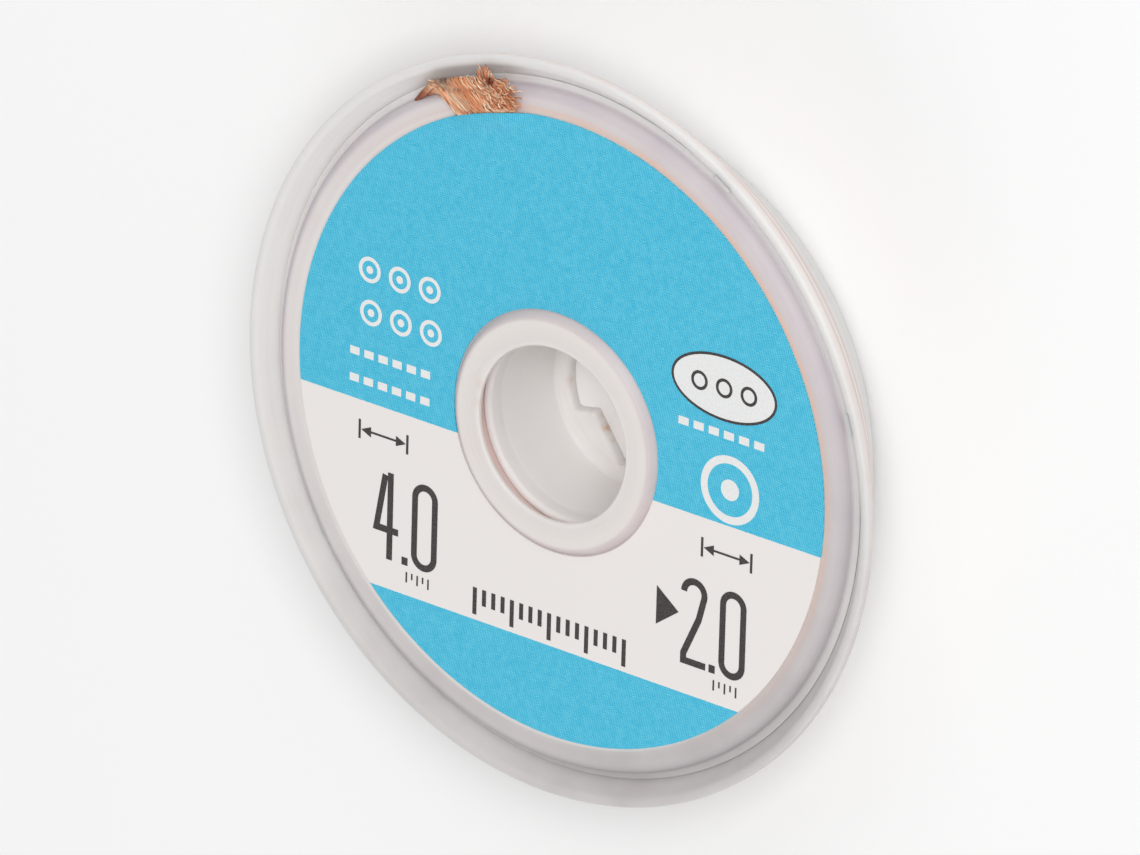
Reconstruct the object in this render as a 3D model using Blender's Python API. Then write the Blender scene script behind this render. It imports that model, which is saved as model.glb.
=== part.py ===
"""Desoldering braid on a plastic bobbin, lying on its back with the label up.

The bobbin is a conical dish with a hub sleeve in its middle. The braid is wound
round the sleeve, a round cover with a paper label closes the dish, and the end
of the braid comes up through the gap round the cover and folds down on it.
Lengths are in metres, +Z is up, and the origin is the middle of the back face.
"""

import math

import bmesh
import bpy

MM = 0.001
SEGMENTS = 48
CORNER_STEPS = 3
CLEARANCE = 0.3 * MM

# Dish, with its walls measured level
DISH_RIM_RADIUS = 28.05 * MM
DISH_HEIGHT = 10.05 * MM
DISH_TAPER = math.radians(37.4)
DISH_WALL = 0.9 * MM
DISH_FLOOR = 1.0 * MM
RIM_WALL = 0.8 * MM
RIM_BAND = 0.7 * MM
RIM_ROUND = 0.2 * MM
BACK_ROUND = 0.6 * MM

# Hub sleeve, which is moulded with the dish
SLEEVE_BORE = 7.0 * MM
SLEEVE_WALL = 0.6 * MM
SLEEVE_DROP = 1.2 * MM
SLEEVE_CHAMFER = 0.15 * MM
SLEEVE_STEP = 0.1 * MM
SLEEVE_STEP_DEPTH = 1.3 * MM

# Keyed hole in the floor, inside the sleeve
FLOOR_LEDGE = 1.1 * MM
KEY_REACH = 1.7 * MM
KEY_OVERHANG = 0.4 * MM
KEY_DIRECTION = math.radians(215.6)

# Cover
COVER_DROP = 0.35 * MM
COVER_GAP = 1.55 * MM
COVER_ROUND = 1.0 * MM
COVER_PLATE = 0.95 * MM
COVER_SKIRT = 0.45 * MM
COVER_SKIRT_WALL = 0.75 * MM

# Raised ring round the cover's bore
RING_OVERHANG = 0.37 * MM
RING_WIDTH = 2.52 * MM
RING_RAISE = 0.6 * MM
RING_DRAFT = 0.28 * MM
RING_LIP = 0.35 * MM
RING_HOLLOW_WALL = 0.55 * MM

# Label
LABEL_MARGIN = 0.97 * MM
LABEL_THICKNESS = 0.2 * MM
LABEL_PROUD = 0.12 * MM

# Braid
BRAID_WIDTH = 3.5 * MM
ROLL_SLACK = 0.5 * MM
TURN_PITCH = 1.03 * MM
TURN_GROOVE = 0.15 * MM
TAIL_THICKNESS = 0.45 * MM
TAIL_SEAT_GAP = 0.3 * MM
TAIL_DIP = 0.85 * MM
TAIL_FOLD_RISE = 0.75 * MM
TAIL_END_RISE = 0.6 * MM
TAIL_OVERHANG = 1.25 * MM
TAIL_MARGIN = 0.57 * MM
TAIL_GAP_ANGLE = math.radians(121.5)
TAIL_FOLD_ANGLE = math.radians(114.5)
TAIL_END_ANGLE = math.radians(101.0)

# Places and radii that follow from the sizes above, with heights over the back face
BAND_FOOT = DISH_HEIGHT - RIM_BAND
DISH_BACK_RADIUS = DISH_RIM_RADIUS - (BAND_FOOT - BACK_ROUND) * math.tan(DISH_TAPER)
SLEEVE_RADIUS = SLEEVE_BORE + SLEEVE_WALL
KEY_HOLE_RADIUS = SLEEVE_BORE - FLOOR_LEDGE
COVER_RADIUS = DISH_RIM_RADIUS - RIM_WALL - COVER_GAP
COVER_FACE = DISH_HEIGHT - COVER_DROP
COVER_UNDERSIDE = COVER_FACE - COVER_PLATE
SLEEVE_TOP = COVER_FACE - SLEEVE_DROP
RING_BORE = SLEEVE_BORE - RING_OVERHANG
RING_FOOT_RADIUS = RING_BORE + RING_WIDTH
LABEL_RADIUS = COVER_RADIUS - COVER_ROUND - LABEL_MARGIN
LABEL_BOTTOM = COVER_FACE + LABEL_PROUD - LABEL_THICKNESS


def clear_scene():
    """Remove whatever objects the file starts with."""
    for scene_object in list(bpy.data.objects):
        bpy.data.objects.remove(scene_object, do_unlink=True)


def plain_material(name, colour, roughness, metallic=0.0):
    """A Principled material of one colour."""
    material = bpy.data.materials.new(name)
    material.use_nodes = True
    shader = material.node_tree.nodes["Principled BSDF"]
    shader.inputs["Base Color"].default_value = (*colour, 1.0)
    shader.inputs["Roughness"].default_value = roughness
    shader.inputs["Metallic"].default_value = metallic
    return material


def plastic_material():
    """Frosted natural plastic of the dish and the cover."""
    return plain_material("frosted_plastic", (0.68, 0.67, 0.65), 0.38)


def paper_material():
    """Printed paper of the label, by its main colour."""
    return plain_material("label_paper", (0.05, 0.40, 0.62), 0.55)


def copper_material():
    """Bare copper of the braid."""
    return plain_material("braid_copper", (0.72, 0.33, 0.16), 0.36, 1.0)


def corner(centre, radius, start, end):
    """Points of a rounded corner in (radius, height), from one angle to another."""
    points = []
    for step in range(CORNER_STEPS + 1):
        angle = math.radians(start + (end - start) * step / CORNER_STEPS)
        points.append((centre[0] + radius * math.cos(angle), centre[1] + radius * math.sin(angle)))
    return points


def dish_outer_radius(height):
    """Radius of the outside of the cone at a height over the back face."""
    return DISH_RIM_RADIUS - (BAND_FOOT - height) * math.tan(DISH_TAPER)


def dish_inner_radius(height):
    """Radius of the inside of the cone at a height over the back face."""
    return dish_outer_radius(height) - DISH_WALL


def add_object(name, builder_mesh, material):
    """Turn a bmesh into a named object with smooth round faces and sharp edges."""
    bmesh.ops.recalc_face_normals(builder_mesh, faces=builder_mesh.faces)
    mesh = bpy.data.meshes.new(name)
    builder_mesh.to_mesh(mesh)
    builder_mesh.free()
    mesh.materials.append(material)
    mesh.shade_smooth()
    mesh.set_sharp_from_angle(angle=math.radians(30.0))
    piece = bpy.data.objects.new(name, mesh)
    bpy.context.scene.collection.objects.link(piece)
    return piece


def turned(name, outline, material):
    """One closed body, turned about Z from a closed outline in (radius, height)."""
    builder_mesh = bmesh.new()
    corners = [builder_mesh.verts.new((radius, 0.0, height)) for radius, height in outline]
    edges = [
        builder_mesh.edges.new((corners[index - 1], corners[index])) for index in range(len(corners))
    ]
    bmesh.ops.spin(
        builder_mesh,
        geom=corners + edges,
        axis=(0.0, 0.0, 1.0),
        cent=(0.0, 0.0, 0.0),
        angle=2.0 * math.pi,
        steps=SEGMENTS,
        use_merge=True,
    )
    return add_object(name, builder_mesh, material)


def extruded(name, outline, depth, material):
    """One closed body: a flat outline of 3-D points, pushed along a vector."""
    builder_mesh = bmesh.new()
    face = builder_mesh.faces.new([builder_mesh.verts.new(point) for point in outline])
    pushed = bmesh.ops.extrude_face_region(builder_mesh, geom=[face])["geom"]
    moved = [item for item in pushed if isinstance(item, bmesh.types.BMVert)]
    bmesh.ops.translate(builder_mesh, vec=depth, verts=moved)
    return add_object(name, builder_mesh, material)


def dish_outline():
    """Section of the dish: back, cone, rim, inside, floor and hub sleeve."""
    rim_inner = DISH_RIM_RADIUS - RIM_WALL
    mouth_bore = SLEEVE_BORE + SLEEVE_STEP
    floor_middle = KEY_HOLE_RADIUS - KEY_REACH - 2.0 * CLEARANCE
    back_corner = (DISH_BACK_RADIUS - BACK_ROUND, BACK_ROUND)
    rim_corner = (DISH_RIM_RADIUS - RIM_ROUND, DISH_HEIGHT - RIM_ROUND)
    lip_corner = (rim_inner + RIM_ROUND, DISH_HEIGHT - RIM_ROUND)
    return [
        (floor_middle, 0.0),
        *corner(back_corner, BACK_ROUND, -90.0, 0.0),
        (DISH_RIM_RADIUS, BAND_FOOT),
        *corner(rim_corner, RIM_ROUND, 0.0, 90.0),
        *corner(lip_corner, RIM_ROUND, 90.0, 180.0),
        (dish_inner_radius(BAND_FOOT), BAND_FOOT),
        (dish_inner_radius(DISH_FLOOR), DISH_FLOOR),
        (SLEEVE_RADIUS, DISH_FLOOR),
        (SLEEVE_RADIUS, SLEEVE_TOP - SLEEVE_CHAMFER),
        (SLEEVE_RADIUS - SLEEVE_CHAMFER, SLEEVE_TOP),
        (mouth_bore + SLEEVE_CHAMFER, SLEEVE_TOP),
        (mouth_bore, SLEEVE_TOP - SLEEVE_CHAMFER),
        (mouth_bore, SLEEVE_TOP - SLEEVE_STEP_DEPTH),
        (SLEEVE_BORE, SLEEVE_TOP - SLEEVE_STEP_DEPTH - SLEEVE_STEP),
        (SLEEVE_BORE, DISH_FLOOR),
        (floor_middle, DISH_FLOOR),
    ]


def key_hole_outline():
    """Outline of the floor's hole: a circle with a square key on one side."""
    key_face = KEY_HOLE_RADIUS - KEY_REACH
    first = math.acos(key_face / KEY_HOLE_RADIUS)
    last = 2.0 * math.pi - math.asin(KEY_OVERHANG / KEY_HOLE_RADIUS)
    points = []
    for step in range(SEGMENTS + 1):
        angle = first + (last - first) * step / SEGMENTS
        points.append((KEY_HOLE_RADIUS * math.cos(angle), KEY_HOLE_RADIUS * math.sin(angle)))
    points.append((key_face, -KEY_OVERHANG))
    return points


def build_dish(plastic):
    """Conical dish with its hub sleeve and the keyed hole in its floor."""
    dish = turned("bobbin_dish", dish_outline(), plastic)
    outline = [(x, y, -DISH_FLOOR) for x, y in key_hole_outline()]
    cutter = extruded("key_hole_cutter", outline, (0.0, 0.0, 3.0 * DISH_FLOOR), plastic)
    cutter.rotation_euler = (0.0, 0.0, KEY_DIRECTION)
    cutter.hide_render = True
    cutter.display_type = "WIRE"
    cut = dish.modifiers.new("key_hole", "BOOLEAN")
    cut.operation = "DIFFERENCE"
    cut.solver = "EXACT"
    cut.object = cutter
    return dish


def cover_outline():
    """Section of the cover: ring, label seat, rounded edge, skirt and underside."""
    seat = LABEL_BOTTOM - CLEARANCE
    seat_edge = LABEL_RADIUS + CLEARANCE
    ring_top = COVER_FACE + RING_RAISE
    hollow = RING_FOOT_RADIUS - RING_HOLLOW_WALL
    edge_corner = (COVER_RADIUS - COVER_ROUND, COVER_FACE - COVER_ROUND)
    skirt_foot = COVER_UNDERSIDE - COVER_SKIRT
    return [
        (RING_BORE, ring_top),
        (RING_FOOT_RADIUS - RING_DRAFT, ring_top),
        (RING_FOOT_RADIUS, COVER_FACE),
        (RING_FOOT_RADIUS, seat),
        (seat_edge, seat),
        (seat_edge, COVER_FACE),
        *corner(edge_corner, COVER_ROUND, 90.0, 0.0),
        (COVER_RADIUS, skirt_foot),
        (COVER_RADIUS - COVER_SKIRT_WALL, skirt_foot),
        (COVER_RADIUS - COVER_SKIRT_WALL, COVER_UNDERSIDE),
        (hollow, COVER_UNDERSIDE),
        (hollow - (seat - COVER_UNDERSIDE), seat),
        (RING_BORE, ring_top - RING_LIP),
    ]


def build_cover(plastic):
    """Round cover with a raised ring round its bore."""
    return turned("bobbin_cover", cover_outline(), plastic)


def build_label(paper):
    """Ring-shaped paper label on the cover's face."""
    inner = RING_FOOT_RADIUS + CLEARANCE
    top = LABEL_BOTTOM + LABEL_THICKNESS
    outline = [(inner, LABEL_BOTTOM), (LABEL_RADIUS, LABEL_BOTTOM), (LABEL_RADIUS, top), (inner, top)]
    return turned("label", outline, paper)


def roll_outline():
    """Section of the wound braid, with a shallow groove between its turns."""
    top = COVER_UNDERSIDE - CLEARANCE
    bottom = top - BRAID_WIDTH
    inner = SLEEVE_RADIUS + CLEARANCE
    outer = dish_inner_radius(bottom) - ROLL_SLACK
    turns = max(1, round((outer - inner) / TURN_PITCH))
    pitch = (outer - inner) / turns
    crown = 0.5 * pitch
    upper = []
    lower = []
    for turn in range(turns):
        start = inner + turn * pitch
        upper += [(start, top - TURN_GROOVE), (start + crown, top)]
        lower += [(start, bottom + TURN_GROOVE), (start + crown, bottom)]
    upper.append((outer, top - TURN_GROOVE))
    lower.append((outer, bottom + TURN_GROOVE))
    return lower + upper[::-1]


def build_roll(copper):
    """The wound braid as one turned body."""
    return turned("braid_roll", roll_outline(), copper)


def tail_sections():
    """Sections of the braid's end: its angle, then its outer and its inner edge.

    Each edge is (radius, height). The strip stands on edge in the gap round the
    cover, and twists down flat on the cover's margin, up to the label.
    """
    half = 0.5 * TAIL_THICKNESS
    gap_radius = COVER_RADIUS + TAIL_SEAT_GAP + half
    gap_height = COVER_FACE - TAIL_DIP
    flat_height = COVER_FACE + TAIL_SEAT_GAP + half
    fold = (COVER_RADIUS + TAIL_OVERHANG, COVER_FACE + TAIL_FOLD_RISE)
    end = (COVER_RADIUS + TAIL_OVERHANG, COVER_FACE + TAIL_END_RISE)
    label_side = (LABEL_RADIUS + TAIL_MARGIN, flat_height)
    rim_side = (COVER_RADIUS - half, flat_height)
    turn = TAIL_FOLD_ANGLE - TAIL_GAP_ANGLE
    return [
        (TAIL_GAP_ANGLE, (gap_radius, gap_height + TAIL_SEAT_GAP), (gap_radius, gap_height)),
        (TAIL_GAP_ANGLE + 0.45 * turn, (gap_radius + half, COVER_FACE + half), (gap_radius, gap_height)),
        (TAIL_GAP_ANGLE + 0.8 * turn, fold, (gap_radius, COVER_FACE)),
        (TAIL_FOLD_ANGLE, fold, rim_side),
        (TAIL_FOLD_ANGLE + 0.2 * turn, fold, label_side),
        (0.5 * (TAIL_FOLD_ANGLE + TAIL_END_ANGLE), fold, label_side),
        (TAIL_END_ANGLE, end, label_side),
    ]


def tail_ring(angle, outer, inner):
    """Four corners of one section of the braid's end, round its outer and inner edge."""
    run = math.hypot(outer[0] - inner[0], outer[1] - inner[1])
    half = 0.5 * TAIL_THICKNESS / run
    across = ((inner[1] - outer[1]) * half, (outer[0] - inner[0]) * half)
    corners = []
    for edge, side in ((outer, 1.0), (outer, -1.0), (inner, -1.0), (inner, 1.0)):
        radius = edge[0] + side * across[0]
        corners.append((radius * math.cos(angle), radius * math.sin(angle), edge[1] + side * across[1]))
    return corners


def build_tail(copper):
    """End of the braid: it rises from the gap, folds over and lies on the cover."""
    builder_mesh = bmesh.new()
    rings = []
    for angle, outer, inner in tail_sections():
        corners = [builder_mesh.verts.new(point) for point in tail_ring(angle, outer, inner)]
        rings.append([builder_mesh.edges.new((corners[index - 1], corners[index])) for index in range(4)])
    for before, after in zip(rings, rings[1:]):
        bmesh.ops.bridge_loops(builder_mesh, edges=before + after)
    bmesh.ops.holes_fill(builder_mesh, edges=rings[0] + rings[-1], sides=4)
    bmesh.ops.triangulate(builder_mesh, faces=builder_mesh.faces)
    return add_object("braid_tail", builder_mesh, copper)


def main():
    """Build every piece of the bobbin in its place."""
    clear_scene()
    plastic = plastic_material()
    copper = copper_material()
    build_dish(plastic)
    build_roll(copper)
    build_cover(plastic)
    build_label(paper_material())
    build_tail(copper)


main()
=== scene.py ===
"""Looks of a desoldering braid on its frosted plastic bobbin.

The bobbin lies on its back on a pale studio floor. Each class below builds and
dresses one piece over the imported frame: the dish, the cover, the paper label with
its print, the wound braid, and the frayed end of the braid. Sizes in the classes
are millimetres, and heights are over the back face. The mesh itself is in metres.
"""

import logging
import math
import random
from dataclasses import dataclass, field
from enum import Enum
from typing import Any, Union

import bmesh
import bpy
from mathutils import Matrix, Vector, noise


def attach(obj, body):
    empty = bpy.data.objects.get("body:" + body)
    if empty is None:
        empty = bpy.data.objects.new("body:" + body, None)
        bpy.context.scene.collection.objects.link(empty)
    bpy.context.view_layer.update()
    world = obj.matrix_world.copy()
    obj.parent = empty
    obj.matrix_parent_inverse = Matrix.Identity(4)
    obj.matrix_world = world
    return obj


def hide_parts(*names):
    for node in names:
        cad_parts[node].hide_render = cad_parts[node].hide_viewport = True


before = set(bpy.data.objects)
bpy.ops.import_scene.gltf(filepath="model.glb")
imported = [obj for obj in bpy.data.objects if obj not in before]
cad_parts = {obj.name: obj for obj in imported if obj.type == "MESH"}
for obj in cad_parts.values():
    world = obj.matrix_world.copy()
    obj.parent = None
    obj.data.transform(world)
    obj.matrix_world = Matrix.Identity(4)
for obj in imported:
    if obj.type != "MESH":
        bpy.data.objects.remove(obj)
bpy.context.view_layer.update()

MM = 0.001
FULL_TURN = 2.0 * math.pi
BODY = "root"

SHARP_ANGLE = math.radians(40.0)
OVAL_PLACE = (14.9, 7.8)
CAMERA_SIDE = math.radians(35.6)

LOG = logging.getLogger("bobbin")

Colour = tuple[float, float, float, float]
Spot = tuple[float, float]


def linear(red: int, green: int, blue: int) -> Colour:
    """Linear colour of a colour that is given as it looks, from 0 to 255.

    Args:
        red: Red as seen.
        green: Green as seen.
        blue: Blue as seen.

    Returns:
        The linear colour, with an alpha of 1.
    """
    shares = [channel / 255.0 for channel in (red, green, blue)]
    made = [
        share / 12.92 if share <= 0.04045 else ((share + 0.055) / 1.055) ** 2.4 for share in shares
    ]
    return (*made, 1.0)


class Slot(Enum):
    """Material slots of the record."""

    DISH = "dish_plastic"
    COVER = "cover_plastic"
    LABEL = "label_paper"
    ROLL = "roll_copper"
    TAIL = "tail_copper"


class Field:
    """A socket of a material that takes part in expressions."""

    def __init__(self, graph: "Graph", socket: bpy.types.NodeSocket) -> None:
        """Wrap a socket.

        Args:
            graph: The material that the socket is in.
            socket: An output socket.
        """
        self.graph = graph
        self.socket = socket

    def math(self, operation: str, *others: "Operand") -> "Field":
        """Put this value and others through a Math node.

        Args:
            operation: The Math node's operation.
            *others: The further operands.

        Returns:
            The result.
        """
        operands = {index: value for index, value in enumerate((self, *others))}
        return self.graph.node("ShaderNodeMath", {"operation": operation}, operands)

    def __add__(self, other: "Operand") -> "Field":
        """Sum."""
        return self.math("ADD", other)

    def __radd__(self, other: float) -> "Field":
        """Sum with a number first."""
        return self.math("ADD", other)

    def __sub__(self, other: "Operand") -> "Field":
        """Difference."""
        return self.math("SUBTRACT", other)

    def __rsub__(self, other: float) -> "Field":
        """Difference from a number."""
        return (self * -1.0) + other

    def __mul__(self, other: "Operand") -> "Field":
        """Product."""
        return self.math("MULTIPLY", other)

    def __rmul__(self, other: float) -> "Field":
        """Product with a number first."""
        return self.math("MULTIPLY", other)

    def __truediv__(self, other: "Operand") -> "Field":
        """Quotient."""
        return self.math("DIVIDE", other)

    def root(self) -> "Field":
        """Square root."""
        return self.math("SQRT")

    def sine(self) -> "Field":
        """Sine of the value in radians."""
        return self.math("SINE")

    def rise(self, low: float, high: float) -> "Field":
        """Smooth step from 0 to 1.

        Args:
            low: The value where the step starts.
            high: The value where it has reached 1, which may be the smaller one.

        Returns:
            The step.
        """
        settings = {"interpolation_type": "SMOOTHSTEP", "clamp": True}
        sockets = {"Value": self, "From Min": low, "From Max": high}
        return self.graph.node("ShaderNodeMapRange", settings, sockets)

    def between(self, low: float, high: float, soft: float) -> "Field":
        """Mask that is 1 between two values and fades outside them.

        Args:
            low: The lower value.
            high: The upper value.
            soft: The width of each fade.

        Returns:
            The mask.
        """
        return self.rise(low - soft, low) * self.rise(high + soft, high)


Operand = Union[Field, float]


class Graph:
    """The node tree of one material."""

    def __init__(self, name: str) -> None:
        """Start a material with a Principled shader.

        Args:
            name: The material's name.
        """
        self.material = bpy.data.materials.new(name)
        self.material.use_nodes = True
        self.tree = self.material.node_tree
        self.shader = self.tree.nodes["Principled BSDF"]

    def make(self, kind: str, settings: dict[str, Any], sockets: dict[Any, Any]) -> bpy.types.Node:
        """Add a node, set it up and feed it.

        Args:
            kind: The node's type.
            settings: The node's own settings, set first.
            sockets: Values or fields, by the input's name or number.

        Returns:
            The node.
        """
        made = self.tree.nodes.new(kind)
        for name, value in settings.items():
            setattr(made, name, value)
        for key, value in sockets.items():
            self.feed(made.inputs[key], value)
        return made

    def node(self, kind: str, settings: dict[str, Any], sockets: dict[Any, Any], output: Any = 0) -> Field:
        """Add a node and give one of its outputs.

        Args:
            kind: The node's type.
            settings: The node's own settings.
            sockets: Values or fields, by the input's name or number.
            output: The output's name or number.

        Returns:
            The output.
        """
        return Field(self, self.make(kind, settings, sockets).outputs[output])

    def feed(self, socket: bpy.types.NodeSocket, value: Any) -> None:
        """Link a field to an input, or set the input to a plain value.

        Args:
            socket: The input.
            value: The field or plain value.
        """
        if isinstance(value, Field):
            self.tree.links.new(value.socket, socket)
        else:
            socket.default_value = value

    def place(self) -> Field:
        """The point on the piece, in millimetres."""
        point = self.node("ShaderNodeTexCoord", {}, {}, "Object")
        scale = {0: point, "Scale": 1.0 / MM}
        return self.node("ShaderNodeVectorMath", {"operation": "SCALE"}, scale)

    def parts(self, vector: Field) -> tuple[Field, Field, Field]:
        """The three parts of a vector.

        Args:
            vector: The vector.

        Returns:
            Its x, y and z.
        """
        split = self.make("ShaderNodeSeparateXYZ", {}, {0: vector})
        return tuple(Field(self, output) for output in split.outputs)

    def vector(self, x: Operand, y: Operand, z: Operand) -> Field:
        """A vector from its three parts."""
        return self.node("ShaderNodeCombineXYZ", {}, {0: x, 1: y, 2: z})

    def noise(self, point: Field, scale: float, detail: float = 2.0, roughness: float = 0.5) -> Field:
        """Soft noise.

        Args:
            point: Where to read it.
            scale: Blotches in a unit of length.
            detail: How many finer layers it has.
            roughness: How strong they are.

        Returns:
            The noise, round about 0.5.
        """
        sockets = {"Vector": point, "Scale": scale, "Detail": detail, "Roughness": roughness}
        return self.node("ShaderNodeTexNoise", {}, sockets)

    def blend(self, share: Operand, first: Any, second: Any) -> Field:
        """Mix two colours.

        Args:
            share: The second colour's share.
            first: The first colour.
            second: The second colour.

        Returns:
            The mixed colour.
        """
        return self.node("ShaderNodeMix", {"data_type": "RGBA"}, {0: share, 6: first, 7: second}, 2)

    def away(self, point: Field, spot: tuple[float, float, float]) -> Field:
        """Distance of a point from a fixed spot."""
        settings = {"operation": "DISTANCE"}
        return self.node("ShaderNodeVectorMath", settings, {0: point, 1: spot}, "Value")

    def attribute(self, name: str) -> Field:
        """A value that the mesh carries."""
        return self.node("ShaderNodeAttribute", {"attribute_name": name}, {}, "Fac")

    def relief(self, height: Field, depth: float) -> Field:
        """A bump from a height field.

        Args:
            height: The height, from 0 to 1.
            depth: The depth of its full range in millimetres.

        Returns:
            The bumped normal.
        """
        sockets = {"Height": height, "Distance": depth * MM, "Strength": 1.0}
        return self.node("ShaderNodeBump", {}, sockets)

    def dress(self, **sockets: Any) -> bpy.types.Material:
        """Set the shader's inputs and give the finished material.

        Args:
            **sockets: Values or fields, by the input's name with _ for a space.

        Returns:
            The material.
        """
        for name, value in sockets.items():
            self.feed(self.shader.inputs[name.replace("_", " ")], value)
        return self.material


@dataclass(frozen=True)
class Stain:
    """A faint smear on the plastic, as a soft ball in space."""

    spot: tuple[float, float, float]
    reach: float
    strength: float


@dataclass(frozen=True)
class Tint:
    """A soft ring of colour on the plastic, for the copper behind it and for painted light and shade.

    The radius is measured along a cone of the given slope, from the height of the rim's foot.
    """

    colour: Colour
    low: float
    high: float
    near: float
    far: float
    strength: float
    soft_height: float = 0.3
    soft_radius: float = 0.3
    slope: float = 0.0
    lean: float = 0.0
    lean_angle: float = CAMERA_SIDE
    rim_foot: float = 9.35

    def mask(self, x: Field, y: Field, z: Field) -> Field:
        """How strongly the tint shows at a point.

        Args:
            x: The point's x.
            y: The point's y.
            z: The point's z.

        Returns:
            The strength, from 0 to 1.
        """
        radius = (x * x + y * y).root()
        measure = radius + (self.rim_foot - z) * self.slope
        ring = measure.between(self.near, self.far, self.soft_radius)
        band = z.between(self.low, self.high, self.soft_height)
        facing = (x * math.cos(self.lean_angle) + y * math.sin(self.lean_angle)) / radius
        side = (facing * 0.5 - 0.5) * self.lean + 1.0
        return ring * band * side * self.strength


ROSY = linear(226, 196, 190)
FLUX = linear(226, 176, 132)
# Painted light: near-white in the shaded gap between the cover and the dish wall, strongest on the
# camera's side.
PAINTED_GAP_LIGHT = Tint(linear(250, 248, 247), 7.6, 9.2, 26.1, 26.9, 0.8, 0.7, 0.5, lean=1.0)
# Painted shade: grey over the rim and the cover's edge, darker towards the lower side.
PAINTED_LOWER_SHADE = Tint(
    linear(184, 180, 180), 7.5, 10.2, 24.0, 28.2, 0.65, lean=1.5, lean_angle=math.radians(-75.0)
)


@dataclass(frozen=True)
class FrostedPlastic:
    """Natural frosted plastic, which lets the copper behind it tint it, with painted light and shade in
    some of its rings.
    """

    name: str
    body: Colour
    rosy: Colour
    smear: Colour
    tints: tuple[Tint, ...] = ()
    stains: tuple[Stain, ...] = ()
    marks: Colour = linear(196, 190, 191)
    see_through: float = 0.1
    scatter: float = 0.25
    scatter_reach: float = 1.0
    cloudiness: float = 0.3
    streakiness: float = 0.25
    roughness: float = 0.5
    frost_depth: float = 0.014

    def material(self) -> bpy.types.Material:
        """Build the material.

        Returns:
            The finished material.
        """
        graph = Graph(self.name)
        point = graph.place()
        x, y, z = graph.parts(point)
        cloud = graph.noise(point, 0.22, 3.0)
        colour = graph.blend((cloud - 0.5) * self.cloudiness, self.body, self.rosy)
        # Rings of copper tint, painted light and painted shade.
        for tint in self.tints:
            colour = graph.blend(tint.mask(x, y, z) * (cloud * 0.8 + 0.6), colour, tint.colour)
        radius = (x * x + y * y).root()
        streak = graph.noise(graph.vector(radius * 2.0, z * 0.5, cloud), 1.0, 2.0, 0.5)
        colour = graph.blend(streak.rise(0.42, 0.8) * self.streakiness, colour, self.marks)
        speckle = graph.noise(point, 3.0, 4.0, 0.7)
        for stain in self.stains:
            ragged = graph.away(point, stain.spot) + (speckle - 0.5) * stain.reach * 1.6
            mask = ragged.rise(stain.reach * 1.1, 0.0)
            colour = graph.blend(mask * stain.strength, colour, self.smear)
        frost = graph.noise(point, 9.0, 2.0)
        fine = graph.noise(point, 1.1, 2.0)
        return graph.dress(
            Base_Color=colour,
            Roughness=fine * 0.12 + self.roughness,
            Specular_IOR_Level=0.4,
            Normal=graph.relief(frost * 0.4 + fine * 0.4 + streak * 0.3, self.frost_depth),
            IOR=1.49,
            Transmission_Weight=self.see_through,
            Subsurface_Weight=self.scatter,
            Subsurface_Radius=(1.0, 0.93, 0.88),
            Subsurface_Scale=self.scatter_reach * MM,
        )


@dataclass(frozen=True)
class PrintedPaper:
    """Label paper with a blue print and an unprinted band."""

    blue: Colour = linear(40, 175, 213)
    blue_dots: Colour = linear(108, 207, 230)
    paper: Colour = linear(236, 231, 228)
    band_top: float = -2.6
    band_bottom: float = -16.6
    thread_pitch: float = 0.21
    thread_run: Spot = (0.8, 0.6)
    roughness: float = 0.42
    wave_depth: float = 0.06

    def material(self) -> bpy.types.Material:
        """Build the material.

        Returns:
            The finished material.
        """
        graph = Graph("printed_paper")
        point = graph.place()
        x, y, _ = graph.parts(point)
        ragged = y + (graph.noise(point, 14.0, 1.0) - 0.5) * 0.07
        band = ragged.between(self.band_bottom, self.band_top, 0.03)
        waves = FULL_TURN / self.thread_pitch
        wobble = (graph.noise(point, 1.6, 2.0) - 0.5) * 0.3
        run, rise = self.thread_run
        across = ((x * run + y * rise + wobble) * waves).sine()
        along = ((y * run - x * rise + wobble) * waves).sine()
        grain = across * along * 0.5 + 0.5
        mottle = graph.noise(point, 2.2, 4.0, 0.6)
        dots = (grain * 0.75 + mottle * 0.6 - 0.2).rise(0.22, 0.82)
        print_colour = graph.blend(dots, self.blue, self.blue_dots)
        colour = graph.blend(band, print_colour, self.paper)
        fibre = graph.noise(point, 6.0, 3.0)
        wave = graph.noise(point, 0.12, 1.0)
        return graph.dress(
            Base_Color=colour,
            Roughness=fibre * 0.12 + self.roughness,
            Normal=graph.relief(fibre * 0.15 + wave, self.wave_depth),
            Specular_IOR_Level=0.4,
        )


@dataclass(frozen=True)
class PrintInk:
    """Matt printing ink of one colour."""

    name: str
    colour: Colour
    worn: Colour
    roughness: float = 0.42

    def material(self) -> bpy.types.Material:
        """Build the material.

        Returns:
            The finished material.
        """
        graph = Graph(self.name)
        point = graph.place()
        wear = graph.noise(point, 7.0, 3.0).rise(0.35, 0.8)
        return graph.dress(
            Base_Color=graph.blend(wear * 0.6, self.colour, self.worn),
            Roughness=wear * 0.15 + self.roughness,
        )


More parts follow.
